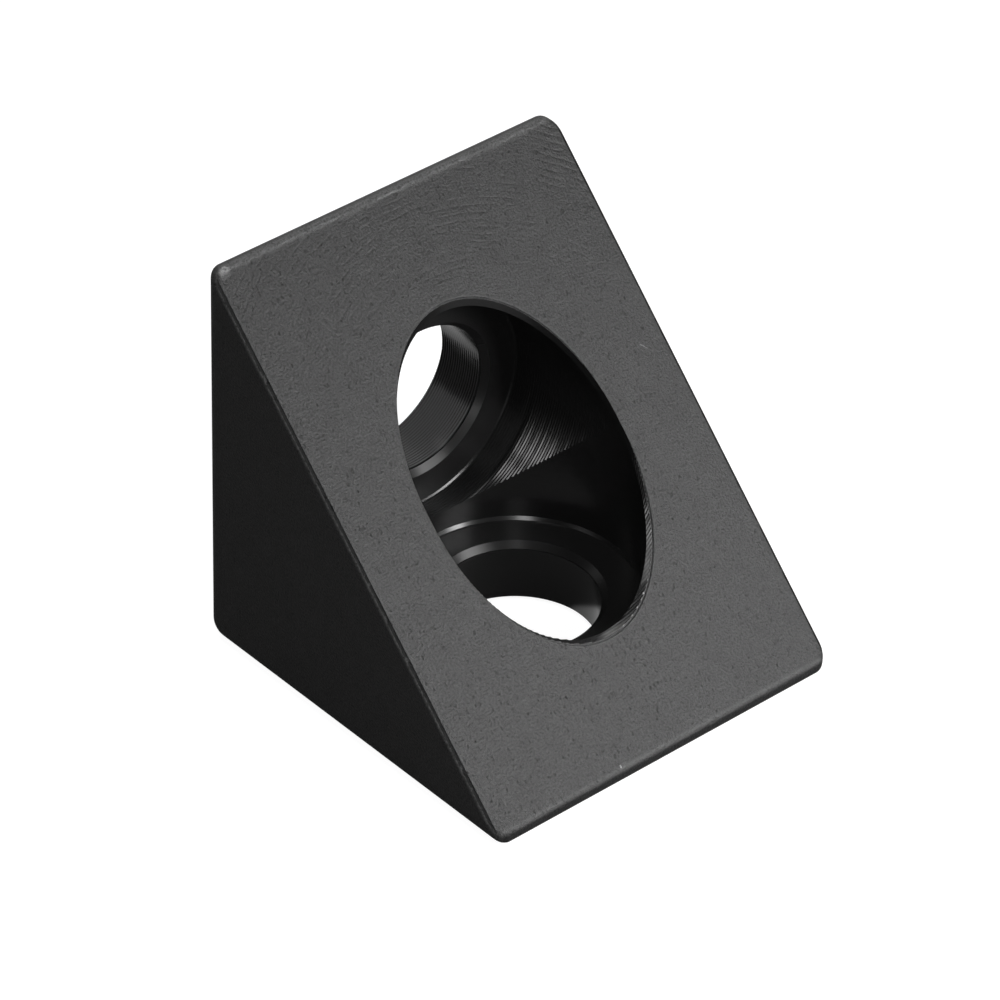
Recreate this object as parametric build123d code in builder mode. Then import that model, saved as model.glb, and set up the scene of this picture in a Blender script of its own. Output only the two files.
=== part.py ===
"""T-slot corner bracket: a solid wedge with two mounting faces at right angles.

Frame: millimetres, +Z up. The bracket stands on its base face, on Z = 0. The
origin is on the base screw's axis, the upright face looks along -X, the
sloping face looks along +X and +Z, and the two flat sides look along -Y and +Y.
"""

import os
from math import isclose

from build123d import *

os.makedirs("parts", exist_ok=True)

# The wedge
leg_length = 20.0  # each mounting face, from the heel to the toe
bracket_width = 20.0  # between the two flat sides
toe_flat = 0.5  # blunt end of each leg, where the slope stops short of the face

# Rounded edges
heel_radius = 1.0  # outer corner between the two mounting faces
rim_radius = 0.8  # edges round each side, apart from the slope's
slope_radius = 0.25  # edges round the sloping face
toe_radius = 0.2  # where a blunt toe meets its mounting face
opening_lip = 0.15  # bevel round the screw pockets' opening in the slope

# The two screws
screw_from_heel = 10.0  # each screw's axis, from the other leg's mounting face
screw_hole_diameter = 7.4
pocket_diameter = 11.2  # room for the screw's head
seat_thickness = 3.2  # metal left under the screw's head
seat_chamfer = 0.3  # where the screw hole opens into its pocket
mouth_chamfer = 0.2  # where the screw hole opens into its mounting face

# Places that follow from those sizes
upright_x = -screw_from_heel
toe_x = upright_x + leg_length
slope_direction = (1, 0, 1)

with BuildPart() as corner_bracket:
    # A square block as wide as the bracket, with its heel and its sides rounded
    with BuildSketch(Plane.XZ):
        with Locations((upright_x, 0)):
            Rectangle(leg_length, leg_length, align=(Align.MIN, Align.MIN))
    extrude(amount=bracket_width / 2, both=True)
    long_edges = corner_bracket.edges().filter_by(Axis.Y)
    heel = long_edges.group_by(Axis.Z)[0].sort_by(Axis.X)[0]
    fillet(heel, radius=heel_radius)
    sides = corner_bracket.faces().filter_by(Axis.Y)
    fillet(sides.edges(), radius=rim_radius)

    # The diagonal cut leaves the wedge, with a blunt toe at the end of each leg
    diagonal = Plane(origin=(toe_x, 0, toe_flat), x_dir=(0, 1, 0), z_dir=slope_direction)
    split(bisect_by=diagonal, keep=Keep.BOTTOM)
    slope = corner_bracket.faces().sort_by(Axis((0, 0, 0), slope_direction))[-1]
    fillet(slope.edges(), radius=slope_radius)
    long_edges = corner_bracket.edges().filter_by(Axis.Y)
    base_toe = long_edges.group_by(Axis.Z)[0].sort_by(Axis.X)[-1]
    upright_toe = long_edges.group_by(Axis.X)[0].sort_by(Axis.Z)[-1]
    fillet([base_toe, upright_toe], radius=toe_radius)

    # Each screw's pocket is bored from the slope, down to the seat in its leg
    over_base = Plane(origin=(0, 0, leg_length), z_dir=(0, 0, 1))
    over_upright = Plane(origin=(toe_x, 0, screw_from_heel), z_dir=(1, 0, 0))
    with Locations(over_base, over_upright):
        CounterBoreHole(
            radius=screw_hole_diameter / 2,
            counter_bore_radius=pocket_diameter / 2,
            counter_bore_depth=leg_length - seat_thickness,
            depth=leg_length,
        )

    # Each pocket breaks out of the slope as an ellipse, whose lip is bevelled
    pocket_radius = pocket_diameter / 2
    upright_axis_at = toe_x * 2**0.5  # up the slope from the base toe
    base_axis_at = (screw_from_heel - toe_flat) * 2**0.5
    for axis_at in (upright_axis_at, base_axis_at):
        with BuildSketch(diagonal):
            with Locations((0, axis_at)):
                Ellipse(pocket_radius + opening_lip, pocket_radius * 2**0.5 + opening_lip)
        with BuildSketch(diagonal.offset(-opening_lip)):
            with Locations((0, axis_at)):
                Ellipse(pocket_radius, pocket_radius * 2**0.5)
        loft(mode=Mode.SUBTRACT)

    # Both ends of each screw hole are chamfered
    circles = corner_bracket.edges().filter_by(GeomType.CIRCLE)
    hole_ends = circles.filter_by(lambda end: isclose(end.radius, screw_hole_diameter / 2))
    mouths = hole_ends.group_by(Axis.Z)[0] + hole_ends.group_by(Axis.X)[0]
    seats = hole_ends.group_by(Axis.Z)[1] + hole_ends.group_by(Axis.X)[1]
    chamfer(seats, length=seat_chamfer)
    chamfer(mouths, length=mouth_chamfer)

corner_bracket.part.label = "corner_bracket"
export_step(corner_bracket.part, "parts/corner_bracket.step")
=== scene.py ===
"""Looks of a T-slot corner bracket: a black anodised wedge in plain studio light.

Lengths are in metres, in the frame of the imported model. +Z is up, the base leg lies on
Z = 0, the upright leg's mounting face looks along -X, and the slope between the two
toes looks along +X and +Z. The origin is on the base screw's axis.
"""

import logging
import math
from dataclasses import dataclass, replace
from enum import Enum
from typing import Any

import bmesh
import bpy
from mathutils import Matrix, Vector


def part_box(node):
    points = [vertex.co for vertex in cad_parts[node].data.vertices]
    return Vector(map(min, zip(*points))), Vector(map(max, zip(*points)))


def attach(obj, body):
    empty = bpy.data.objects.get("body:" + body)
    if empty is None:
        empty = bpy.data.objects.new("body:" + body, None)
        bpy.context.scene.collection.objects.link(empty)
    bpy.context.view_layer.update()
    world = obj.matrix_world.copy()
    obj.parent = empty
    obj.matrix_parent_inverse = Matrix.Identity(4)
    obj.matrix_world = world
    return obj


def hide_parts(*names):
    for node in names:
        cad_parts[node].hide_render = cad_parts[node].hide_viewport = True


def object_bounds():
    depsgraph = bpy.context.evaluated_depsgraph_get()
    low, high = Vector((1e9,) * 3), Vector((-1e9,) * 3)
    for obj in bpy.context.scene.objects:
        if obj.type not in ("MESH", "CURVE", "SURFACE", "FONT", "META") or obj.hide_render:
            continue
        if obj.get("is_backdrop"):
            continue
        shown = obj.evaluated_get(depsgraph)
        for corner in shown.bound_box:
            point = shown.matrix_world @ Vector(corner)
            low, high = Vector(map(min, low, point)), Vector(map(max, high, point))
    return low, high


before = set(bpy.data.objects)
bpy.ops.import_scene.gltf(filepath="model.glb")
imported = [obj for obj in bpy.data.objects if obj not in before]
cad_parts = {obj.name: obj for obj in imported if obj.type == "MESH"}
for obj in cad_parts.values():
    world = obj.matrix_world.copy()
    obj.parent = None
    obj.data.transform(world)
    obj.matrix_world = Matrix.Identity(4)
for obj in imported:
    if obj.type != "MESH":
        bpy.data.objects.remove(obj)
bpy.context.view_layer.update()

MM = 0.001
TOUCH = 0.001 * MM
FAR = 1.0
ROOT_TWO = math.sqrt(2)
OUT_OF_SLOPE = Vector((1.0, 0.0, 1.0)).normalized()
DOWN_SLOPE = Vector((1.0, 0.0, -1.0)).normalized()
SLOPE_TURN = math.pi / 4
log = logging.getLogger("corner_bracket")

Socket = bpy.types.NodeSocket
Triple = tuple[float, float, float]


class Mark(Enum):
    """What the cutters store on the faces that they cut."""

    BORED = "bored"
    FACED = "faced"
    GROOVED = "grooved"


class Leg(Enum):
    """The leg that a screw goes through, valued by the turn that points +Z along its bore."""

    BASE = (0.0, 0.0, 0.0)
    UPRIGHT = (0.0, math.pi / 2, 0.0)


class Wiring:
    """Adds the nodes of one shader or geometry tree and joins them."""

    def __init__(self, tree: bpy.types.NodeTree) -> None:
        """Takes over a tree.

        Args:
            tree: the tree that gets the nodes.
        """
        self.tree = tree

    def add(
        self, kind: str, inputs: dict[str | int, Any] | None = None, **settings: Any
    ) -> bpy.types.Node:
        """Adds one node.

        Args:
            kind: the node's Blender type.
            inputs: what each input gets, by its name or number: a socket to join, or a value.
            settings: the node's own options, such as operation.

        Returns:
            The new node.
        """
        node = self.tree.nodes.new(kind)
        for name, value in settings.items():
            setattr(node, name, value)
        for key, value in (inputs or {}).items():
            if isinstance(value, Socket):
                self.tree.links.new(value, node.inputs[key])
            else:
                node.inputs[key].default_value = value
        return node

    def math(self, operation: str, *values: Socket | float) -> Socket:
        """Adds a Math node.

        Args:
            operation: what it does with its values.
            values: a socket or a number for each input.

        Returns:
            The socket with the result.
        """
        return self.add("ShaderNodeMath", dict(enumerate(values)), operation=operation).outputs[0]

    def vector(self, operation: str, *values: Socket | Triple) -> Socket:
        """Adds a Vector Math node.

        Args:
            operation: what it does with its vectors.
            values: a socket or a triple for each input.

        Returns:
            The socket with the result, which is a number for a distance.
        """
        node = self.add("ShaderNodeVectorMath", dict(enumerate(values)), operation=operation)
        return node.outputs["Value" if operation == "DISTANCE" else "Vector"]

    def combine(self, **parts: Socket | float) -> Socket:
        """Makes a vector of its X, Y and Z, each 0 where it isn't given."""
        return self.add("ShaderNodeCombineXYZ", parts).outputs[0]

    def separate(self, vector: Socket) -> tuple[Socket, Socket, Socket]:
        """Splits a vector into its X, Y and Z."""
        x, y, z = self.add("ShaderNodeSeparateXYZ", {0: vector}).outputs
        return x, y, z

    def ramp(
        self,
        value: Socket,
        start: float,
        end: float,
        low: Socket | float = 0.0,
        high: Socket | float = 1.0,
    ) -> Socket:
        """Turns a stretch of a value into a smooth rise or fall.

        Args:
            value: the value that is read.
            start: where the change begins.
            end: where the change ends.
            low: the result before the start.
            high: the result after the end.

        Returns:
            The socket with the result.
        """
        ends = {"Value": value, "From Min": start, "From Max": end, "To Min": low, "To Max": high}
        return self.add("ShaderNodeMapRange", ends, interpolation_type="SMOOTHSTEP").outputs[0]

    def noise(
        self, place: Socket, scale: float, detail: float, roughness: float = 0.5
    ) -> bpy.types.Node:
        """Adds a noise texture.

        Args:
            place: where it is read.
            scale: how many of its lumps there are to a metre.
            detail: how many finer layers it has.
            roughness: how strong those layers are.

        Returns:
            The node.
        """
        settings = {"Vector": place, "Scale": scale, "Detail": detail, "Roughness": roughness}
        return self.add("ShaderNodeTexNoise", settings)

    def mark(self, mesh: Socket, mark: Mark, value: Socket | bool = True) -> Socket:
        """Stores a yes or no on each face of a mesh.

        Args:
            mesh: the mesh.
            mark: what it says.
            value: yes or no.

        Returns:
            The marked mesh.
        """
        inputs = {"Geometry": mesh, "Name": mark.value, "Value": value}
        kind = "GeometryNodeStoreNamedAttribute"
        return self.add(kind, inputs, data_type="BOOLEAN", domain="FACE").outputs[0]

    def dress(self, mesh: Socket, made: bpy.types.Material, mark: Mark | None = None) -> Socket:
        """Sets a material on a mesh, or on its faces with a mark.

        Args:
            mesh: the mesh.
            made: the material.
            mark: the mark that its faces have, or None for all faces.

        Returns:
            The dressed mesh.
        """
        inputs = {"Geometry": mesh, "Material": made}
        if mark:
            kind = "GeometryNodeInputNamedAttribute"
            marked = self.add(kind, {"Name": mark.value}, data_type="BOOLEAN")
            inputs["Selection"] = marked.outputs[0]
        return self.add("GeometryNodeSetMaterial", inputs).outputs[0]


def grey(level: float) -> tuple[float, float, float, float]:
    """Makes an opaque grey of a linear level."""
    return (level, level, level, 1.0)


def empty_material(name: str) -> tuple[bpy.types.Material, Wiring]:
    """Makes a material with no nodes yet, and the wiring that adds them."""
    made = bpy.data.materials.new(name)
    made.use_nodes = True
    made.node_tree.nodes.clear()
    return made, Wiring(made.node_tree)


def add_object(name: str, data: bpy.types.ID) -> bpy.types.Object:
    """Makes an object and puts it in the scene, at the origin."""
    made = bpy.data.objects.new(name, data)
    bpy.context.scene.collection.objects.link(made)
    return made


@dataclass(frozen=True)
class Rings:
    """The rings that a boring tool leaves, deepest in the sector where it chattered.

    Attributes:
        pitch: from one ring to the next.
        depth: how deep a ring is where the tool chattered.
        middle: the sector's middle, as an angle round the bore.
        reach: the cosine, from that middle, at which the chatter fades in.
        above: the height over the bore's start at which the chatter begins.
        all_round_above: the height over which the tool chattered all the way round.
        calm_share: the share of the depth that a ring has elsewhere.
    """

    pitch: float
    depth: float
    middle: float
    reach: float
    above: float
    all_round_above: float
    calm_share: float

    def inputs(self) -> dict[str, float]:
        """Gives the values for the inputs of the ringed cutter."""
        return {
            "Ring Pitch": self.pitch,
            "Ring Depth": self.depth,
            "Chatter Middle": self.middle,
            "Chatter Reach": self.reach,
            "Chatter From": self.above,
            "Chatter After": self.all_round_above,
            "Calm Share": self.calm_share,
        }


BEFORE_START = -1.0 * MM
PAST_END = 36.0 * MM
HOLE_RINGS = Rings(
    pitch=0.15 * MM,
    depth=0.026 * MM,
    middle=math.radians(30),
    reach=0.3,
    above=BEFORE_START,
    all_round_above=PAST_END,
    calm_share=0.12,
)
POCKET_RINGS = Rings(
    pitch=0.15 * MM,
    depth=0.038 * MM,
    middle=math.radians(46),
    reach=0.76,
    above=1.1 * MM,
    all_round_above=7.8 * MM,
    calm_share=0.08,
)
FINE_DEPTH = 0.002 * MM
FINE_HOLE_RINGS = replace(HOLE_RINGS, depth=FINE_DEPTH)
FINE_POCKET_RINGS = replace(POCKET_RINGS, pitch=0.5 * MM, depth=FINE_DEPTH)


@dataclass
class ScrewBore:
    """One stepped bore: a screw hole and the pocket for the screw's head, with tool rings.

    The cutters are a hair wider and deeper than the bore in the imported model, so that all
    of the smooth wall is cut away and the ringed wall takes its place.

    Attributes:
        leg: the leg that the bore goes through.
        mouth: the middle of the screw hole's mouth, in the mounting face.
        seat_thickness: how much metal is left under the screw's head.
        past_mouth: how far the hole's cutter stands out of the mounting face.
        reach: how long the pocket's cutter is.
        ring_room: how much wider the hole's cutter is, for each unit of its rings' depth.
        nose_radius: the radius that rounds the corner between the seat and the pocket.
        lip_radius: the radius that rounds the opening in the slope, in a few rows of faces.
    """

    leg: Leg
    mouth: Vector
    hole_rings: Rings = HOLE_RINGS
    pocket_rings: Rings = POCKET_RINGS
    hole_radius: float = 3.7 * MM
    pocket_radius: float = 5.6 * MM
    seat_thickness: float = 3.2 * MM
    past_mouth: float = 1.0 * MM
    reach: float = 18.0 * MM
    seat_chamfer: float = 0.3 * MM
    mouth_chamfer: float = 0.2 * MM
    hair: float = 0.02 * MM
    ring_room: float = 1.25
    nose_radius: float = 0.1 * MM
    lip_radius: float = 0.08 * MM
    lip_rows: int = 4
    sides: int = 160

    def steps(self) -> list[dict[str, Any]]:
        """Sizes the ringed cutters of the hole and of the pocket.

        Returns:
            For each cutter, a value for each input of its group.
        """
        seat = self.seat_thickness - self.hair
        to_chamfer = self.seat_thickness - self.seat_chamfer - self.hair
        hole = {
            "Radius": self.hole_radius + max(self.hair, self.ring_room * self.hole_rings.depth),
            "Start": -self.past_mouth,
            "Length": seat + 2 * self.past_mouth,
            "Flare Before": self.past_mouth + self.mouth_chamfer + self.hair,
            "Flare After": self.past_mouth + to_chamfer,
            "Seed": 1,
        }
        pocket = {
            "Radius": self.pocket_radius + self.hair,
            "Start": seat,
            "Length": self.reach,
            "Flare After": PAST_END,
            "Nose Radius": self.nose_radius,
            "Seed": 2,
        }
        shared = {"Sides": self.sides, "Turn": self.leg.value, "Mouth": self.mouth}
        return [
            shared | hole | self.hole_rings.inputs(),
            shared | pocket | self.pocket_rings.inputs(),
        ]

    def lip(self, slope_height: float) -> dict[str, Any]:
        """Sizes the cutter that rounds the lip of the pocket's opening in the slope.

        Args:
            slope_height: how high above the mouth's plane the bore's axis meets the slope.

        Returns:
            A value for each input of the lip cutter's group.
        """
        towards = Vector((0.0, 0.0, 1.0))
        if self.leg is Leg.UPRIGHT:
            towards = Vector((1.0, 0.0, 0.0))
        return {
            "Radius": self.pocket_radius,
            "Lip Radius": self.lip_radius,
            "Sides": self.sides,
            "Rows": self.lip_rows,
            "Turn": (0.0, SLOPE_TURN, 0.0),
            "Centre": self.mouth + towards * slope_height,
        }


class Cutter:
    """A Geometry Nodes group that makes a closed cutter, with named inputs for its sizes."""

    NAME = "Cutter"
    SOCKETS: dict[str, str] = {}
    PLACING = {"Turn": "Rotation", "Centre": "Vector"}

    def __init__(self) -> None:
        """Builds the group."""
        self.tree = bpy.data.node_groups.new(self.NAME, "GeometryNodeTree")
        face = self.tree.interface
        for name, kind in (self.SOCKETS | self.PLACING).items():
            face.new_socket(name, in_out="INPUT", socket_type=f"NodeSocket{kind}")
        face.new_socket("Cutter", in_out="OUTPUT", socket_type="NodeSocketGeometry")
        w = Wiring(self.tree)
        given = w.add("NodeGroupInput").outputs
        turn, centre = (given[name] for name in self.PLACING)
        placing = {"Geometry": self._shape(w, given), "Rotation": turn, "Translation": centre}
        placed = w.add("GeometryNodeTransform", placing)
        w.add("NodeGroupOutput", {"Cutter": placed.outputs[0]})

    def _shape(self, w: Wiring, given: Any) -> Socket:
        """Adds the nodes that make the cutter before it is turned and placed.

        Args:
            w: the group's tree.
            given: the group's inputs, by name.

        Returns:
            The cutter's mesh.
        """
        raise NotImplementedError

    def use(self, w: Wiring, sizes: dict[str, Any]) -> Socket:
        """Adds one cutter to a tree.

        Args:
            w: the tree that cuts with it.
            sizes: a value for each of the group's inputs.

        Returns:
            The cutter's geometry.
        """
        return w.add("GeometryNodeGroup", sizes, node_tree=self.tree).outputs["Cutter"]


class LipCutter(Cutter):
    """Rounds the lip of the ellipse that a bore at 45 degrees leaves in the slope."""

    NAME = "Lip cutter"
    SOCKETS = {"Radius": "Float", "Lip Radius": "Float", "Sides": "Int", "Rows": "Int"}

    def _shape(self, w: Wiring, given: Any) -> Socket:
        """Makes a short cylinder that flares in a quarter circle, then is stretched."""
        sides, rows = given["Sides"], given["Rows"]
        size = {"Vertices": sides, "Side Segments": rows, "Radius": 1.0, "Depth": 1.0}
        wall = w.add("GeometryNodeMeshCylinder", size, fill_type="NGON")
        x, y, z = w.separate(w.add("GeometryNodeInputPosition").outputs[0])
        turn = w.math("MULTIPLY", w.math("ADD", z, 0.5), math.pi / 2)
        flare = w.math("SUBTRACT", 1.0, w.math("COSINE", turn))
        depth = w.math("SUBTRACT", w.math("SINE", turn), 1.0)
        outwards = w.math("MULTIPLY", flare, given["Lip Radius"])
        stretched = w.math("MULTIPLY", given["Radius"], ROOT_TWO)
        shape = w.combine(
            X=w.math("MULTIPLY", x, w.math("ADD", stretched, outwards)),
            Y=w.math("MULTIPLY", y, w.math("ADD", given["Radius"], outwards)),
            Z=w.math("MULTIPLY_ADD", depth, given["Lip Radius"], TOUCH),
        )
        moving = {"Geometry": wall.outputs["Mesh"], "Position": shape}
        return w.add("GeometryNodeSetPosition", moving).outputs[0]


class PocketFill(Cutter):
    """A three-sided block that fills both pockets, so that they can be bored again with rings."""

    NAME = "Pocket fill"
    SOCKETS = {"Height": "Float", "Width": "Float"}

    def _shape(self, w: Wiring, given: Any) -> Socket:
        """Makes a prism with equal sides, scaled until its corner is square."""
        size = {"Vertices": 3, "Radius": 1.0, "Depth": 1.0}
        prism = w.add("GeometryNodeMeshCylinder", size, fill_type="NGON")
        scale = w.combine(
            X=w.math("MULTIPLY", given["Height"], 2 / 3),
            Y=w.math("MULTIPLY", given["Height"], 2 / math.sqrt(3)),
            Z=given["Width"],
        )
        scaling = {"Geometry": prism.outputs["Mesh"], "Scale": scale}
        return w.add("GeometryNodeTransform", scaling).outputs[0]


class SeamCutter(Cutter):
    """A thin bar that cuts the fine groove between the milled slope and a side."""

    NAME = "Seam cutter"
    SOCKETS = {"Size": "Vector"}

    def _shape(self, w: Wiring, given: Any) -> Socket:
        """Makes the bar."""
        bar = w.add("GeometryNodeMeshCube", {"Size": given["Size"]})
        return w.mark(bar.outputs["Mesh"], Mark.GROOVED)


class RingedCutter(Cutter):
    """A cylinder along +Z whose wall has the rings that a boring tool leaves.

    The rings are deep where the tool chattered, and shallower by the calm share elsewhere.
    The first end is rounded as the tool's nose is, which leaves a small radius round the
    seat. Before and after two heights the wall flares at 45 degrees, which cuts a chamfer.
    """

    NAME = "Ringed cutter"
    SOCKETS = {
        "Radius": "Float",
        "Start": "Float",
        "Length": "Float",
        "Ring Pitch": "Float",
        "Ring Depth": "Float",
        "Chatter Middle": "Float",
        "Chatter Reach": "Float",
        "Chatter From": "Float",
        "Chatter After": "Float",
        "Calm Share": "Float",
        "Flare Before": "Float",
        "Flare After": "Float",
        "Nose Radius": "Float",
        "Sides": "Int",
        "Seed": "Int",
    }
    PLACING = {"Turn": "Rotation", "Mouth": "Vector"}
    ROWS_PER_RING = 3.0
    RISE = 1.5  # a ring is drawn in over two of its rows
    FALL = 3.0  # and let out over the third
    UNEVEN = (0.93, 1.07)  # share of the ring's depth that chance gives
    BEGIN_FADE = 0.6 * MM
    ALL_ROUND_FADE = 1.0 * MM
    SECTOR_FADE = 0.14

    def _shape(self, w: Wiring, given: Any) -> Socket:
        """Makes a cylinder and draws its wall in or lets it out, row by row."""
        rings = w.math("ROUND", w.math("DIVIDE", given["Length"], given["Ring Pitch"]))
        size = {
            "Vertices": given["Sides"],
            "Side Segments": w.math("MULTIPLY", rings, self.ROWS_PER_RING),
            "Radius": given["Radius"],
            "Depth": given["Length"],
        }
        wall = w.add("GeometryNodeMeshCylinder", size, fill_type="NGON").outputs["Mesh"]
        place = w.add("GeometryNodeInputPosition").outputs[0]
        lift = w.combine(Z=w.math("MULTIPLY", given["Length"], 0.5))
        x, y, height = w.separate(w.vector("ADD", place, lift))

        flare = self._flare(w, given, height)
        plain = w.math("LESS_THAN", flare, TOUCH)
        turns = w.math("DIVIDE", height, w.math("DIVIDE", given["Length"], rings))
        depth = self._depth(w, given, turns, self._chatter(w, given, x, y, height))
        ring_in = w.math("MULTIPLY", self._crest(w, turns), w.math("MULTIPLY", depth, plain))
        drawn_in = w.math("ADD", ring_in, self._nose(w, given, height))
        drawn = w.math("SUBTRACT", drawn_in, flare)
        share = w.math("SUBTRACT", 1.0, w.math("DIVIDE", drawn, given["Radius"]))
        shape = w.vector("MULTIPLY", place, w.combine(X=share, Y=share, Z=1.0))
        ringed = w.add("GeometryNodeSetPosition", {"Geometry": wall, "Position": shape})

        at_end = w.math("LESS_THAN", height, TOUCH)
        faced = w.math("MAXIMUM", at_end, w.math("SUBTRACT", 1.0, plain))
        marked = w.mark(w.mark(ringed.outputs[0], Mark.BORED), Mark.FACED, faced)
        to_start = w.math("MULTIPLY_ADD", given["Length"], 0.5, given["Start"])
        starting = {"Geometry": marked, "Translation": w.combine(Z=to_start)}
        return w.add("GeometryNodeTransform", starting).outputs[0]

    def _chatter(self, w: Wiring, given: Any, x: Socket, y: Socket, height: Socket) -> Socket:
        """Measures how deep the rings are at a point, as a share of their full depth."""
        middle = given["Chatter Middle"]
        towards = w.math("MULTIPLY", x, w.math("COSINE", middle))
        towards = w.math("MULTIPLY_ADD", y, w.math("SINE", middle), towards)
        from_middle = w.math("DIVIDE", towards, given["Radius"])
        past_start = w.math("SUBTRACT", height, given["Chatter From"])
        past_sector = w.math("SUBTRACT", height, given["Chatter After"])
        past_side = w.math("SUBTRACT", from_middle, given["Chatter Reach"])
        begun = w.ramp(past_start, 0.0, self.BEGIN_FADE)
        beyond = w.ramp(past_sector, 0.0, self.ALL_ROUND_FADE)
        within = w.ramp(past_side, 0.0, self.SECTOR_FADE)
        sector = w.math("MAXIMUM", w.math("MULTIPLY", within, begun), beyond)
        return w.ramp(sector, 0.0, 1.0, given["Calm Share"], 1.0)

    def _flare(self, w: Wiring, given: Any, height: Socket) -> Socket:
        """Measures how far the wall is let out at either end."""
        before = w.math("MAXIMUM", w.math("SUBTRACT", given["Flare Before"], height), 0.0)
        after = w.math("MAXIMUM", w.math("SUBTRACT", height, given["Flare After"]), 0.0)
        return w.math("ADD", before, after)

    def _crest(self, w: Wiring, turns: Socket) -> Socket:
        """Measures how near a row is to its ring's crest: 0 in the valley, 1 on the crest."""
        along = w.math("FRACT", turns)
        rise = w.math("MULTIPLY", along, self.RISE)
        fall = w.math("MULTIPLY", w.math("SUBTRACT", 1.0, along), self.FALL)
        return w.math("MINIMUM", rise, fall)

    def _depth(self, w: Wiring, given: Any, turns: Socket, chatter: Socket) -> Socket:
        """Measures a ring's own depth, which chance makes a little uneven."""
        low, high = self.UNEVEN
        ring = w.math("FLOOR", turns)
        chance = {"Min": low, "Max": high, "ID": ring, "Seed": given["Seed"]}
        drawn = w.add("FunctionNodeRandomValue", chance, data_type="FLOAT").outputs["Value"]
        return w.math("MULTIPLY", given["Ring Depth"], w.math("MULTIPLY", drawn, chatter))

    def _nose(self, w: Wiring, given: Any, height: Socket) -> Socket:
        """Measures how far the first end is drawn in by the roundness of the tool's nose."""
        radius = given["Nose Radius"]
        below = w.math("MAXIMUM", w.math("SUBTRACT", radius, height), 0.0)
        squares = w.math("SUBTRACT", w.math("POWER", radius, 2.0), w.math("POWER", below, 2.0))
        return w.math("SUBTRACT", radius, w.math("SQRT", squares))


@dataclass(frozen=True)
class Whereabouts:
    """Where a shaded point is on the wedge, as sockets that give lengths in metres."""

    up_slope: Socket
    across: Socket
    from_slope: Socket
    from_toe: Socket
    from_edge: Socket
    from_lip: Socket


@dataclass(frozen=True)
class Nick:
    """A small mark in the slope's anodising, placed from the middle of the slope.

    Attributes:
        up_slope: how far up the slope it is.
        across: how far along +Y it is.
        length: how long it is.
        width: how wide it is.
        lean: its turn from straight up the slope, in radians.
        tone: how many times as bright as the anodising it is.
    """

    CORE = 0.5
    RIM = 1.2

    up_slope: float
    across: float
    length: float
    width: float
    lean: float
    tone: float

    def shown(self, w: Wiring, at: Whereabouts) -> Socket:
        """Measures where the nick is: 1 on it, 0 elsewhere.

        Args:
            w: the material's tree.
            at: the shaded point.

        Returns:
            The socket with the measure.
        """
        up = w.math("SUBTRACT", at.up_slope, self.up_slope)
        side = w.math("SUBTRACT", at.across, self.across)
        cos, sin = math.cos(self.lean), math.sin(self.lean)
        along = w.math("ADD", w.math("MULTIPLY", up, cos), w.math("MULTIPLY", side, sin))
        off = w.math("SUBTRACT", w.math("MULTIPLY", side, cos), w.math("MULTIPLY", up, sin))
        past = w.math("SUBTRACT", w.math("ABSOLUTE", along), self.length / 2)
        past = w.math("MAXIMUM", past, 0.0)
        away = w.math("SQRT", w.math("MULTIPLY_ADD", past, past, w.math("MULTIPLY", off, off)))
        near_slope = w.math("ADD", away, at.from_slope)
        return w.ramp(near_slope, self.width * self.CORE, self.width * self.RIM, 1.0, 0.0)


@dataclass(frozen=True)
class Anodise:
    """Plain black anodising: its colour and its gloss."""

    name: str = "machined_black_anodise"
    colour: float = 0.011
    specular: float = 0.75
    roughness: float = 0.2

    def material(self) -> bpy.types.Material:
        """Builds the material."""
        made, w = empty_material(self.name)
        inputs = {
            "Base Color": grey(self.colour),
            "Roughness": self.roughness,
            "Specular IOR Level": self.specular,
        }
        surface = w.add("ShaderNodeBsdfPrincipled", inputs)
        w.add("ShaderNodeOutputMaterial", {"Surface": surface.outputs[0]})
        return made


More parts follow.
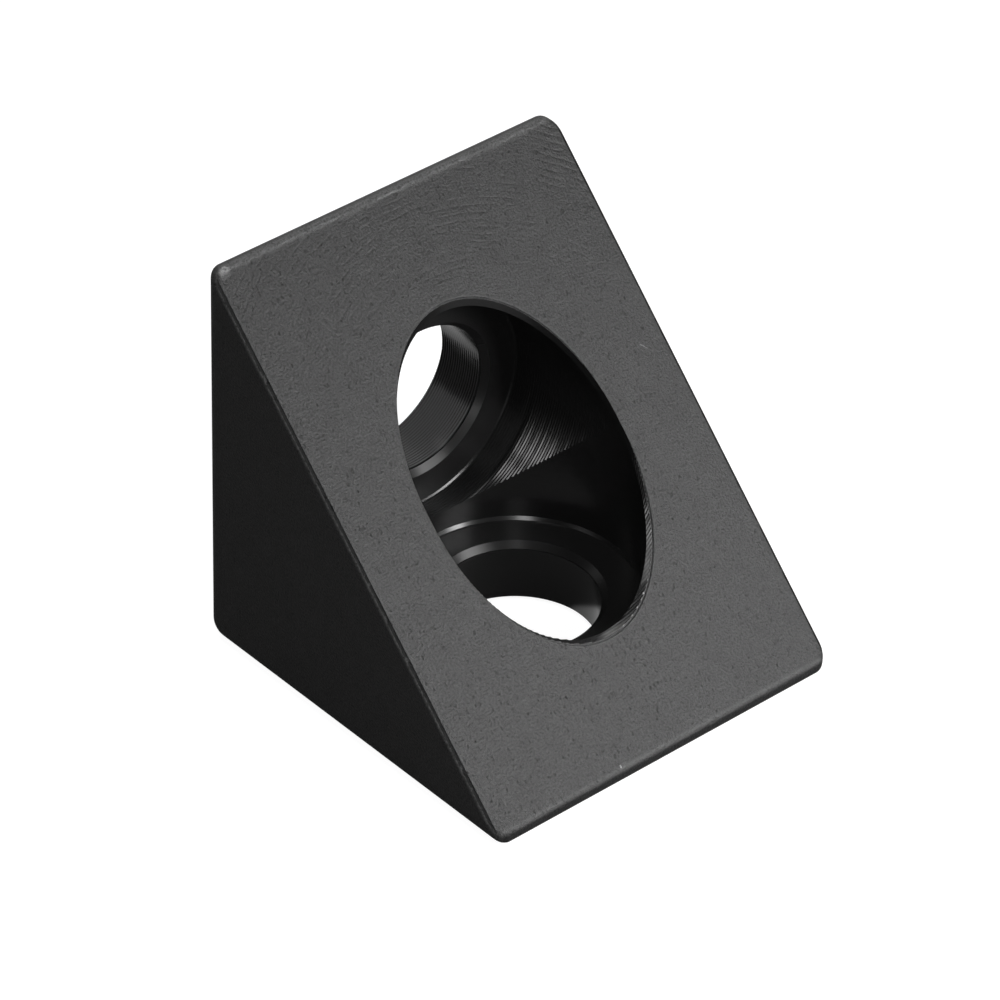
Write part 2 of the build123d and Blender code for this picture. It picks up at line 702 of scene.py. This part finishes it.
@dataclass(frozen=True)
class BlastedAnodise:
    """Black anodising over bead-blasted aluminium, with pits, milling arcs and rubbed edges; it
    paints a highlight on the edges and a corner, and shade in pits, toe and seam.

    A pair of numbers is where a change begins and where it ends.
    """

    name: str = "blasted_black_anodise"
    colour: float = 0.028
    # The rubbed band's colour is edge wear plus a painted highlight.
    rub_and_highlight_colour: float = 0.085
    # The seam groove's faces are painted nearly black: painted shade in the groove.
    seam_shade_colour: float = 0.002
    darkest: float = 0.001
    specular: float = 0.4
    roughness: float = 0.5
    rub_and_highlight_roughness: float = 0.34

    # Grain and mottle of the blasting
    grain: float = 0.1 * MM
    grain_harshness: float = 0.65
    grain_height: float = 0.04 * MM
    grain_tone: float = 3.4
    mottle: float = 0.6 * MM
    mottle_tone: float = 0.5

    # Pits, whose bends are shares of their spacing
    pit_spacing: float = 0.34 * MM
    pit_depth: float = 0.11 * MM
    # The pits are darkened: painted shade in them.
    pit_shade_tone: float = 0.7
    pit_bend: float = 0.4
    pit_bend_length: float = 0.2
    pit_stretch: Triple = (1.0, 1.7, 1.0)
    pit_chance: tuple[float, float] = (0.4, 1.0)
    pit_size: float = 0.32
    pit_wall: float = 0.06

    # Milling arcs, whose wander is in pitches
    arc_pitch: float = 0.34 * MM
    arc_depth: float = 0.012 * MM
    arc_wander: float = 0.8
    arc_wander_length: float = 4.0
    arc_sharpness: float = 3.0
    arc_patches: tuple[float, float] = (0.42, 0.62)
    arc_rise: tuple[float, float] = (5.0 * MM, 10.5 * MM)
    arc_elsewhere: float = 0.08
    arc_below_slope: tuple[float, float] = (0.01 * MM, 0.03 * MM)

    # Rubbed edges, whose paler band is edge wear plus a painted highlight, and the base toe's
    # painted shade
    rub_and_highlight_fade: tuple[float, float] = (0.02 * MM, 0.26 * MM)
    rub_and_highlight_ragged: float = 0.2 * MM
    rub_and_highlight_at_lip: float = 0.1 * MM
    rub_and_highlight_off_lip: float = 1.6
    rub_and_highlight_off_toe: tuple[float, float] = (0.03 * MM, 0.2 * MM)
    # The base toe's face is darkened: painted shade.
    toe_shade_tone: float = 0.6
    toe_shade_fade: tuple[float, float] = (0.03 * MM, 0.15 * MM)

    # Breaks in the dark seam, and the nicks that the picture shows
    seam_break: float = 0.7 * MM
    seam_whole: tuple[float, float] = (0.62, 0.68)
    nicks: tuple[Nick, ...] = (
        Nick(12.35 * MM, -8.2 * MM, 0.3 * MM, 0.045 * MM, 0.05, 0.1),
        Nick(2.6 * MM, 8.6 * MM, 0.38 * MM, 0.03 * MM, -0.7, 4.0),
        # This broad nick at the top corner by the -Y side is a painted highlight.
        Nick(13.6 * MM, -9.33 * MM, 0.1 * MM, 0.32 * MM, 0.8, 2.6),
        Nick(-13.5 * MM, -2.6 * MM, 0.05 * MM, 0.05 * MM, 0.0, 9.0),
    )

    def material(self, bracket: "MachinedWedge") -> bpy.types.Material:
        """Builds the material.

        Args:
            bracket: the piece that wears it, whose sizes place the rubbed edges with their
                painted highlight and the base toe's painted shade.

        Returns:
            The material.
        """
        made, w = empty_material(self.name)
        place = w.add("ShaderNodeTexCoord").outputs["Object"]
        at = bracket.whereabouts(w, place)
        grain = w.noise(place, 1 / self.grain, 2.0, self.grain_harshness).outputs["Fac"]
        pits = self._pits(w, place)
        rub_and_highlight = self._rub_and_highlight(w, at, grain)
        change = self.rub_and_highlight_roughness - self.roughness
        inputs = {
            "Base Color": self._colour(w, place, at, grain, pits, rub_and_highlight),
            "Roughness": w.math("MULTIPLY_ADD", rub_and_highlight, change, self.roughness),
            "Specular IOR Level": self.specular,
            "Normal": self._relief(w, place, at, grain, pits),
        }
        surface = w.add("ShaderNodeBsdfPrincipled", inputs)
        w.add("ShaderNodeOutputMaterial", {"Surface": surface.outputs[0]})
        return made

    def _pits(self, w: Wiring, place: Socket) -> Socket:
        """Adds small scattered pits of uneven size and outline, in some of the cells."""
        bend_length = self.pit_spacing * self.pit_bend_length
        bend = w.noise(place, 1 / bend_length, 1.0).outputs["Color"]
        shift = (self.pit_spacing * self.pit_bend,) * 3
        bent = w.vector("MULTIPLY_ADD", bend, shift, place)
        narrow = w.vector("MULTIPLY", bent, self.pit_stretch)
        cells = w.add("ShaderNodeTexVoronoi", {"Vector": narrow, "Scale": 1 / self.pit_spacing})
        chance = w.add("ShaderNodeSeparateColor", {0: cells.outputs["Color"]}).outputs[0]
        size = w.ramp(chance, *self.pit_chance, 0.0, self.pit_size)
        inside = w.math("SUBTRACT", size, cells.outputs["Distance"])
        return w.ramp(inside, 0.0, self.pit_wall)

    def _arcs(self, w: Wiring, place: Socket, at: Whereabouts) -> Socket:
        """Adds the faint arcs that a face mill leaves round the middle of the slope."""
        across = w.math("MULTIPLY", at.across, at.across)
        radius = w.math("SQRT", w.math("MULTIPLY_ADD", at.up_slope, at.up_slope, across))
        wander_length = self.arc_wander_length * self.arc_pitch
        wander = w.noise(place, 1 / wander_length, 2.0).outputs["Fac"]
        turns = w.math("DIVIDE", radius, self.arc_pitch)
        uneven = w.math("MULTIPLY_ADD", wander, self.arc_wander, turns)
        wave = w.math("POWER", w.math("PINGPONG", uneven, 0.5), self.arc_sharpness)
        wave = w.math("MULTIPLY", wave, 2.0**self.arc_sharpness)
        faint = w.ramp(wander, *self.arc_patches)
        far_out = w.ramp(at.up_slope, *self.arc_rise, self.arc_elsewhere, 1.0)
        on_slope = w.ramp(at.from_slope, *self.arc_below_slope, 1.0, 0.0)
        shown = w.math("MULTIPLY", w.math("MULTIPLY", faint, far_out), on_slope)
        return w.math("MULTIPLY", wave, shown)

    def _rub_and_highlight(self, w: Wiring, at: Whereabouts, grain: Socket) -> Socket:
        """Adds the paler, uneven band along the edges of the wedge and the lip of the opening:
        edge wear plus a painted highlight, kept off the base toe.
        """
        off_lip = w.math("MULTIPLY_ADD", at.from_lip, self.rub_and_highlight_off_lip, self.rub_and_highlight_at_lip)
        near = w.math("MINIMUM", at.from_edge, w.math("ADD", off_lip, at.from_slope))
        ragged = w.math("MULTIPLY_ADD", w.math("SUBTRACT", grain, 0.5), self.rub_and_highlight_ragged, near)
        off_toe = w.ramp(at.from_toe, *self.rub_and_highlight_off_toe)
        return w.math("MULTIPLY", w.ramp(ragged, *self.rub_and_highlight_fade, 1.0, 0.0), off_toe)

    def _seam(self, w: Wiring, place: Socket) -> Socket:
        """Adds the thin dark line where the milled slope meets each side, with a few breaks:
        painted shade on the groove's faces.
        """
        line = w.add("ShaderNodeAttribute", attribute_name=Mark.GROOVED.value).outputs["Fac"]
        breaks = w.noise(place, 1 / self.seam_break, 3.0).outputs["Fac"]
        return w.math("MULTIPLY", line, w.ramp(breaks, *self.seam_whole, 1.0, 0.0))

    def _colour(
        self,
        w: Wiring,
        place: Socket,
        at: Whereabouts,
        grain: Socket,
        pits: Socket,
        rub_and_highlight: Socket,
    ) -> Socket:
        """Mixes the anodising's black with the rubbed edges and their painted highlight, the
        grain, the marks, and painted shade on the pits, the base toe and the seam.
        """
        mottle = w.noise(place, 1 / self.mottle, 3.0).outputs["Fac"]
        # Paler along the rubbed band: edge wear plus a painted highlight.
        level = w.math("MULTIPLY_ADD", rub_and_highlight, self.rub_and_highlight_colour - self.colour, self.colour)
        speckle = w.math("MULTIPLY_ADD", w.math("SUBTRACT", grain, 0.5), self.grain_tone, 1.0)
        cloud = w.math("MULTIPLY_ADD", w.math("SUBTRACT", mottle, 0.5), self.mottle_tone, 1.0)
        # Darker on the base toe's face: painted shade.
        cloud = w.math("MULTIPLY", cloud, w.ramp(at.from_toe, *self.toe_shade_fade, self.toe_shade_tone, 1.0))
        level = w.math("MULTIPLY", level, w.math("MULTIPLY", speckle, cloud))
        # The pits are darkened with painted shade; each nick gets its own tone.
        tones = [(pits, self.pit_shade_tone)] + [(nick.shown(w, at), nick.tone) for nick in self.nicks]
        for shown, tone in tones:
            level = w.math("MULTIPLY", level, w.math("MULTIPLY_ADD", shown, tone - 1.0, 1.0))
        # Nearly black on the groove's faces: painted shade.
        seam_shade_factor = w.math("SUBTRACT", 1.0, self._seam(w, place))
        seam_shade_factor = w.math("MAXIMUM", seam_shade_factor, self.seam_shade_colour / self.colour)
        level = w.math("MAXIMUM", w.math("MULTIPLY", level, seam_shade_factor), self.darkest)
        return w.add("ShaderNodeCombineColor", {0: level, 1: level, 2: level}).outputs[0]

    def _relief(
        self, w: Wiring, place: Socket, at: Whereabouts, grain: Socket, pits: Socket
    ) -> Socket:
        """Turns the grain, the pits and the milling arcs into bumps, the last two inwards."""
        blasted = w.add("ShaderNodeBump", {"Height": grain, "Distance": self.grain_height})
        normal = blasted.outputs[0]
        for height, depth in ((pits, self.pit_depth), (self._arcs(w, place, at), self.arc_depth)):
            bump = {"Height": height, "Distance": depth, "Normal": normal}
            normal = w.add("ShaderNodeBump", bump, invert=True).outputs[0]
        return normal


@dataclass
class MachinedWedge:
    """The bracket's one piece: the wedge with both stepped bores."""

    node: str = "corner_bracket"
    name: str = "machined_wedge"
    body: str = "root"
    slot: str = "black_anodised"
    toe_flat: float = 0.5 * MM
    slope_radius: float = 0.25 * MM
    seam_width: float = 0.15 * MM
    seam_depth: float = 0.09 * MM
    seam_turn: float = math.radians(28)
    fill_below_slope: float = 0.003 * MM
    fill_width: float = 14.0 * MM
    merge_within: float = 0.0001 * MM
    smooth_below: float = math.radians(35)
    ring_crease: float = math.radians(5)
    blasted: BlastedAnodise = BlastedAnodise()
    machined: Anodise = Anodise()
    faced: Anodise = Anodise(
        name="faced_black_anodise", colour=0.0145, specular=0.3, roughness=0.27
    )

    def __post_init__(self) -> None:
        """Reads the wedge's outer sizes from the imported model."""
        self.low, self.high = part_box(self.node)
        self.screw_height = -self.low.x
        self.slope_height = self.high.x + self.toe_flat
        self.bores = [
            ScrewBore(Leg.BASE, Vector((0.0, 0.0, 0.0)), FINE_HOLE_RINGS, FINE_POCKET_RINGS),
            ScrewBore(Leg.UPRIGHT, Vector((self.low.x, 0.0, self.screw_height))),
        ]

    def build(self) -> bpy.types.Object:
        """Makes the piece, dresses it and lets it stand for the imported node.

        Returns:
            The finished piece.
        """
        draft = add_object("draft", self._merged_copy())
        draft.modifiers.new("bores", "NODES").node_group = self._bore_tree()
        mesh = self._evaluated(draft)
        draft.modifiers.clear()
        self._crease(mesh)
        draft.data = mesh
        weighted = draft.modifiers.new("flat_faces_stay_flat", "WEIGHTED_NORMAL")
        weighted.keep_sharp = True
        final = self._evaluated(draft)
        bpy.data.objects.remove(draft)
        piece = add_object(self.name, final)
        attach(piece, self.body)
        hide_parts(self.node)
        log.info("%s: %d faces", self.name, len(final.polygons))
        return piece

    def _merged_copy(self) -> bpy.types.Mesh:
        """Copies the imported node's loose triangles and merges them into one closed skin."""
        skin = bmesh.new()
        skin.from_mesh(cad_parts[self.node].data)
        bmesh.ops.remove_doubles(skin, verts=skin.verts, dist=self.merge_within)
        mesh = bpy.data.meshes.new(self.name)
        skin.to_mesh(mesh)
        skin.free()
        return mesh

    def _bore_tree(self) -> bpy.types.NodeTree:
        """Builds the tree that cuts the ringed bores out of the wedge.

        Returns:
            The tree, which ends in Realize Instances and Set Material.
        """
        tree = bpy.data.node_groups.new("Ringed bores", "GeometryNodeTree")
        for way in ("INPUT", "OUTPUT"):
            tree.interface.new_socket("Geometry", in_out=way, socket_type="NodeSocketGeometry")
        w = Wiring(tree)
        wedge = w.add("NodeGroupInput").outputs["Geometry"]
        filled = w.add("GeometryNodeMeshBoolean", operation="UNION", solver="MANIFOLD")
        for solid in (wedge, PocketFill().use(w, self._fill())):
            tree.links.new(solid, filled.inputs["Mesh 2"])
        cutting = {"Mesh 1": filled.outputs["Mesh"]}
        cut = w.add("GeometryNodeMeshBoolean", cutting, operation="DIFFERENCE", solver="MANIFOLD")
        ringed, lip, groove = RingedCutter(), LipCutter(), SeamCutter()
        cutters = [ringed.use(w, sizes) for bore in self.bores for sizes in bore.steps()]
        cutters += [lip.use(w, bore.lip(self.slope_height)) for bore in self.bores]
        cutters += [groove.use(w, self._groove(side)) for side in (-1.0, 1.0)]
        for cutter in cutters:
            tree.links.new(cutter, cut.inputs["Mesh 2"])
        real = w.add("GeometryNodeRealizeInstances", {"Geometry": cut.outputs["Mesh"]})
        dressed = w.dress(real.outputs[0], self.blasted.material(self))
        dressed = w.dress(dressed, self.machined.material(), Mark.BORED)
        dressed = w.dress(dressed, self.faced.material(), Mark.FACED)
        w.add("NodeGroupOutput", {"Geometry": dressed})
        return tree

    def _fill(self) -> dict[str, Any]:
        """Sizes the block that fills the pockets, from under the seats to below the slope.

        Returns:
            A value for each input of the filling group.
        """
        under_seat = self.bores[0].seat_thickness - self.bores[0].hair / 2
        corner = Vector((self.low.x + under_seat, 0.0, under_seat))
        top = self.slope_height - self.fill_below_slope
        height = (top - corner.x - corner.z) / ROOT_TWO
        turn = Matrix((-OUT_OF_SLOPE, -DOWN_SLOPE, Vector((0.0, 1.0, 0.0)))).transposed()
        return {
            "Height": height,
            "Width": self.fill_width,
            "Turn": turn.to_euler(),
            "Centre": corner + OUT_OF_SLOPE * (height * 2 / 3),
        }

    def _groove(self, side: float) -> dict[str, Any]:
        """Sizes and places the groove along one long edge of the slope.

        Args:
            side: -1 for the side that looks along -Y, 1 for the other.

        Returns:
            A value for each input of the seam cutter's group.
        """
        across = Vector((0.0, side, 0.0))
        facing = OUT_OF_SLOPE * math.cos(self.seam_turn) + across * math.sin(self.seam_turn)
        middle = Vector((self.slope_height / 2, 0.0, self.slope_height / 2))
        middle -= DOWN_SLOPE * (self.screw_height / ROOT_TWO)
        to_side = across * (self.high.y - self.slope_radius)
        centre_line = middle + to_side - OUT_OF_SLOPE * self.slope_radius
        turn = Matrix((DOWN_SLOPE, facing.cross(DOWN_SLOPE), facing)).transposed()
        return {
            "Size": (2 * self.high.z, self.seam_width, 2 * self.seam_depth),
            "Turn": turn.to_euler(),
            "Centre": centre_line + facing * self.slope_radius,
        }

    def _crease(self, mesh: bpy.types.Mesh) -> None:
        """Marks the edges that stay crisp: every ring's crest, and the sharp turns elsewhere."""
        skin = bmesh.new()
        skin.from_mesh(mesh)
        bored = skin.faces.layers.bool[Mark.BORED.value]
        for edge in skin.edges:
            in_bore = all(face[bored] for face in edge.link_faces)
            limit = self.ring_crease if in_bore else self.smooth_below
            edge.smooth = edge.calc_face_angle(math.pi) < limit
        for face in skin.faces:
            face.smooth = True
        skin.to_mesh(mesh)
        skin.free()

    def _evaluated(self, piece: bpy.types.Object) -> bpy.types.Mesh:
        """Turns a piece's live modifiers into a plain mesh."""
        graph = bpy.context.evaluated_depsgraph_get()
        return bpy.data.meshes.new_from_object(piece.evaluated_get(graph), depsgraph=graph)

    def whereabouts(self, w: Wiring, place: Socket) -> Whereabouts:
        """Measures a shaded point against the wedge's planes and its screw pockets.

        On a face one of the planes is at no distance, so the second smallest of their
        distances is the distance to the edge that the face shares with that plane.

        Args:
            w: the material's tree.
            place: the point, in the piece's own coordinates.

        Returns:
            The point's place on the slope and its distances.
        """
        x, y, z = w.separate(place)
        under_slope = w.math("SUBTRACT", self.slope_height, w.math("ADD", x, z))
        planes = {
            "upright": w.math("SUBTRACT", x, self.low.x),
            "base": w.math("SUBTRACT", z, self.low.z),
            "side": w.math("SUBTRACT", self.high.y, w.math("ABSOLUTE", y)),
            "slope": w.math("DIVIDE", under_slope, ROOT_TWO),
            "base toe": w.math("SUBTRACT", self.high.x, x),
            "upright toe": w.math("SUBTRACT", self.high.z, z),
        }
        distances = list(planes.values())
        nearest, second = distances[0], FAR
        for distance in distances[1:]:
            second = w.math("MINIMUM", second, w.math("MAXIMUM", nearest, distance))
            nearest = w.math("MINIMUM", nearest, distance)
        rise = w.math("SUBTRACT", w.math("SUBTRACT", z, x), self.screw_height)
        return Whereabouts(
            up_slope=w.math("DIVIDE", rise, ROOT_TWO),
            across=y,
            from_slope=planes["slope"],
            from_toe=planes["base toe"],
            from_edge=second,
            from_lip=self._from_lip(w, x, y, z),
        )

    def _from_lip(self, w: Wiring, x: Socket, y: Socket, z: Socket) -> Socket:
        """Measures how far outside the nearer screw pocket's wall a point is."""
        across = w.math("MULTIPLY", y, y)
        from_axis = []
        for along, at in ((x, 0.0), (z, self.screw_height)):
            off = w.math("SUBTRACT", along, at)
            from_axis.append(w.math("SQRT", w.math("MULTIPLY_ADD", off, off, across)))
        return w.math("SUBTRACT", w.math("MINIMUM", *from_axis), self.bores[0].pocket_radius)


@dataclass(frozen=True)
class SoftBox:
    """A studio lamp with a square or upright oblong face, which looks at the bracket.

    Attributes:
        name: the lamp's name.
        direction: where it is, seen from the middle of the bracket.
        distance: how far from there it is.
        size: how wide its face is.
        brightness: how many times as bright as plain white its face is.
        upright: how many times as high as wide its face is.
    """

    name: str
    direction: Triple
    distance: float
    size: float
    brightness: float
    upright: float = 1.0

    def place(self, target: Vector) -> bpy.types.Object:
        """Adds the lamp.

        Args:
            target: the point that it faces.

        Returns:
            The lamp's object. At brightness 1, the lamp's own face is plain white.
        """
        data = bpy.data.lights.new(self.name, "AREA")
        data.shape = "RECTANGLE"
        data.size = self.size
        data.size_y = self.size * self.upright
        data.energy = self.brightness * math.pi * data.size * data.size_y
        lamp = add_object(self.name, data)
        towards = Vector(self.direction).normalized()
        lamp.location = target + towards * self.distance
        lamp.rotation_euler = towards.to_track_quat("Z", "Y").to_euler()
        return lamp


@dataclass(frozen=True)
class Glint:
    """A round spot of the floor that shows white in a gloss, fading from its core outwards."""

    CORE = 0.6

    x: float
    y: float
    radius: float


@dataclass
class Studio:
    """The floor, the surround, the lamps and the camera."""

    floor_size: float = 3.0
    floor_gap: float = 0.02 * MM
    floor_colour: float = 0.13
    floor_shadow: float = 0.06
    shade_gain: float = 4.5
    floor_in_gloss: float = 0.03
    glint_in_gloss: float = 0.55
    glints: tuple[Glint, ...] = (
        Glint(-17.3 * MM, 3.0 * MM, 5.5 * MM),
        Glint(0.3 * MM, 3.4 * MM, 1.2 * MM),
    )
    surround_in_gloss: float = 0.8
    front_in_gloss: float = 0.02
    surround_ends: tuple[float, float] = (-0.82, -0.64)
    ambient: float = 0.06
    camera_place: Triple = (158.0 * MM, -144.67 * MM, 169.15 * MM)
    camera_forward: Triple = (-0.5924, 0.5375, -0.6001)
    camera_up: Triple = (-0.4626, 0.3829, 0.7996)
    camera_near: float = 0.01
    lens: float = 216.9
    lamps: tuple[SoftBox, ...] = (
        SoftBox("key_softbox", (0.78, 0.38, 0.44), 0.09, 0.05, 12.25),
        SoftBox("edge_softbox", (0.675, -0.68, 0.28), 0.25, 0.05, 5.0, upright=2.2),
        SoftBox("front_softbox", (0.62, -0.46, 0.64), 0.35, 0.06, 4.5, upright=2.2),
        SoftBox("rim_softbox", (0.72, 0.12, 0.68), 0.25, 0.05, 0.6),
        SoftBox("top_softbox", (0.03, -0.16, 0.98), 0.3, 0.11, 4.0),
        SoftBox("back_softbox", (-0.59, 0.50, 0.63), 0.25, 0.14, 1.6),
    )

    def build(self) -> None:
        """Sets up the whole studio."""
        self._floor()
        self._surround()
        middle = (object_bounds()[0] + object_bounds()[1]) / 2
        for lamp in self.lamps:
            lamp.place(middle)
            log.info("lamp %s", lamp.name)
        self._camera()
        bpy.context.scene.view_settings.view_transform = "Standard"

    def _white_share(self, w: Wiring, in_gloss: Socket | float) -> Socket:
        """Says how much of the white background a ray shows.

        Args:
            w: the tree of the floor or of the surround.
            in_gloss: the share that a gloss shows.

        Returns:
            1 where the ray comes straight or through glass, the share in a gloss, and else 0.
        """
        ray = w.add("ShaderNodeLightPath").outputs
        straight = w.math("MAXIMUM", ray["Is Camera Ray"], ray["Is Transmission Ray"])
        return w.math("MAXIMUM", straight, w.math("MULTIPLY", ray["Is Glossy Ray"], in_gloss))

    def _floor(self) -> None:
        """Adds a plain pale floor, which shows white and keeps a faint shadow.

        It lies a hair below the base, and from below it is clear, so the base can be seen.
        """
        half, drop = self.floor_size / 2, -self.floor_gap
        mesh = bpy.data.meshes.new("floor")
        signs = ((-1, -1), (1, -1), (1, 1), (-1, 1))
        mesh.from_pydata([(x * half, y * half, drop) for x, y in signs], [], [(0, 1, 2, 3)])
        mesh.materials.append(self._floor_material())
        floor = add_object("floor", mesh)
        floor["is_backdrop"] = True

    def _floor_material(self) -> bpy.types.Material:
        """Builds the floor's material, which is pale to the bracket and white to the camera."""
        made, w = empty_material("pale_floor")
        white = grey(1.0 - self.floor_shadow)
        lit = grey(self.shade_gain * self.floor_shadow)
        pale = w.add("ShaderNodeBsdfDiffuse", {"Color": grey(self.floor_colour)})
        glow = w.add("ShaderNodeEmission", {"Color": white, "Strength": 1.0})
        shade = w.add("ShaderNodeBsdfDiffuse", {"Color": lit})
        shown = w.add("ShaderNodeAddShader", {0: glow.outputs[0], 1: shade.outputs[0]})
        place = w.add("ShaderNodeTexCoord").outputs["Object"]
        in_gloss = self.floor_in_gloss
        for glint in self.glints:
            away = w.vector("DISTANCE", place, (glint.x, glint.y, 0.0))
            core = glint.radius * glint.CORE
            on = w.ramp(away, core, glint.radius, self.glint_in_gloss, 0.0)
            in_gloss = w.math("MAXIMUM", on, in_gloss)
        share = self._white_share(w, in_gloss)
        above = {"Fac": share, 1: pale.outputs[0], 2: shown.outputs[0]}
        from_above = w.add("ShaderNodeMixShader", above).outputs[0]
        backfacing = w.add("ShaderNodeNewGeometry").outputs["Backfacing"]
        clear = w.add("ShaderNodeBsdfTransparent").outputs[0]
        sided = w.add("ShaderNodeMixShader", {"Fac": backfacing, 1: from_above, 2: clear})
        w.add("ShaderNodeOutputMaterial", {"Surface": sided.outputs[0]})
        return made

    def _surround(self) -> None:
        """Lights the shadows faintly, and shows white behind everything."""
        world = bpy.data.worlds.new("studio")
        world.use_nodes = True
        world.node_tree.nodes.clear()
        w = Wiring(world.node_tree)
        aside, _, _ = w.separate(w.add("ShaderNodeTexCoord").outputs["Generated"])
        in_gloss = w.ramp(aside, *self.surround_ends, self.surround_in_gloss, self.front_in_gloss)
        share = self._white_share(w, in_gloss)
        level = w.math("MULTIPLY_ADD", share, 1.0 - self.ambient, self.ambient)
        light = w.add("ShaderNodeBackground", {"Color": grey(1.0), "Strength": level})
        w.add("ShaderNodeOutputWorld", {"Surface": light.outputs[0]})
        bpy.context.scene.world = world

    def _camera(self) -> None:
        """Adds the camera that sees the bracket as the picture does."""
        data = bpy.data.cameras.new("camera")
        data.lens = self.lens
        data.clip_start = self.camera_near
        camera = add_object("camera", data)
        forward = Vector(self.camera_forward).normalized()
        right = forward.cross(Vector(self.camera_up)).normalized()
        turn = Matrix((right, right.cross(forward), -forward)).transposed()
        camera.matrix_world = Matrix.Translation(Vector(self.camera_place)) @ turn.to_4x4()
        bpy.context.scene.camera = camera


def main() -> None:
    """Builds the bracket and the studio around it."""
    logging.basicConfig(level=logging.INFO, format="%(name)s: %(message)s")
    MachinedWedge().build()
    Studio().build()


if __name__ == "__main__":
    main()
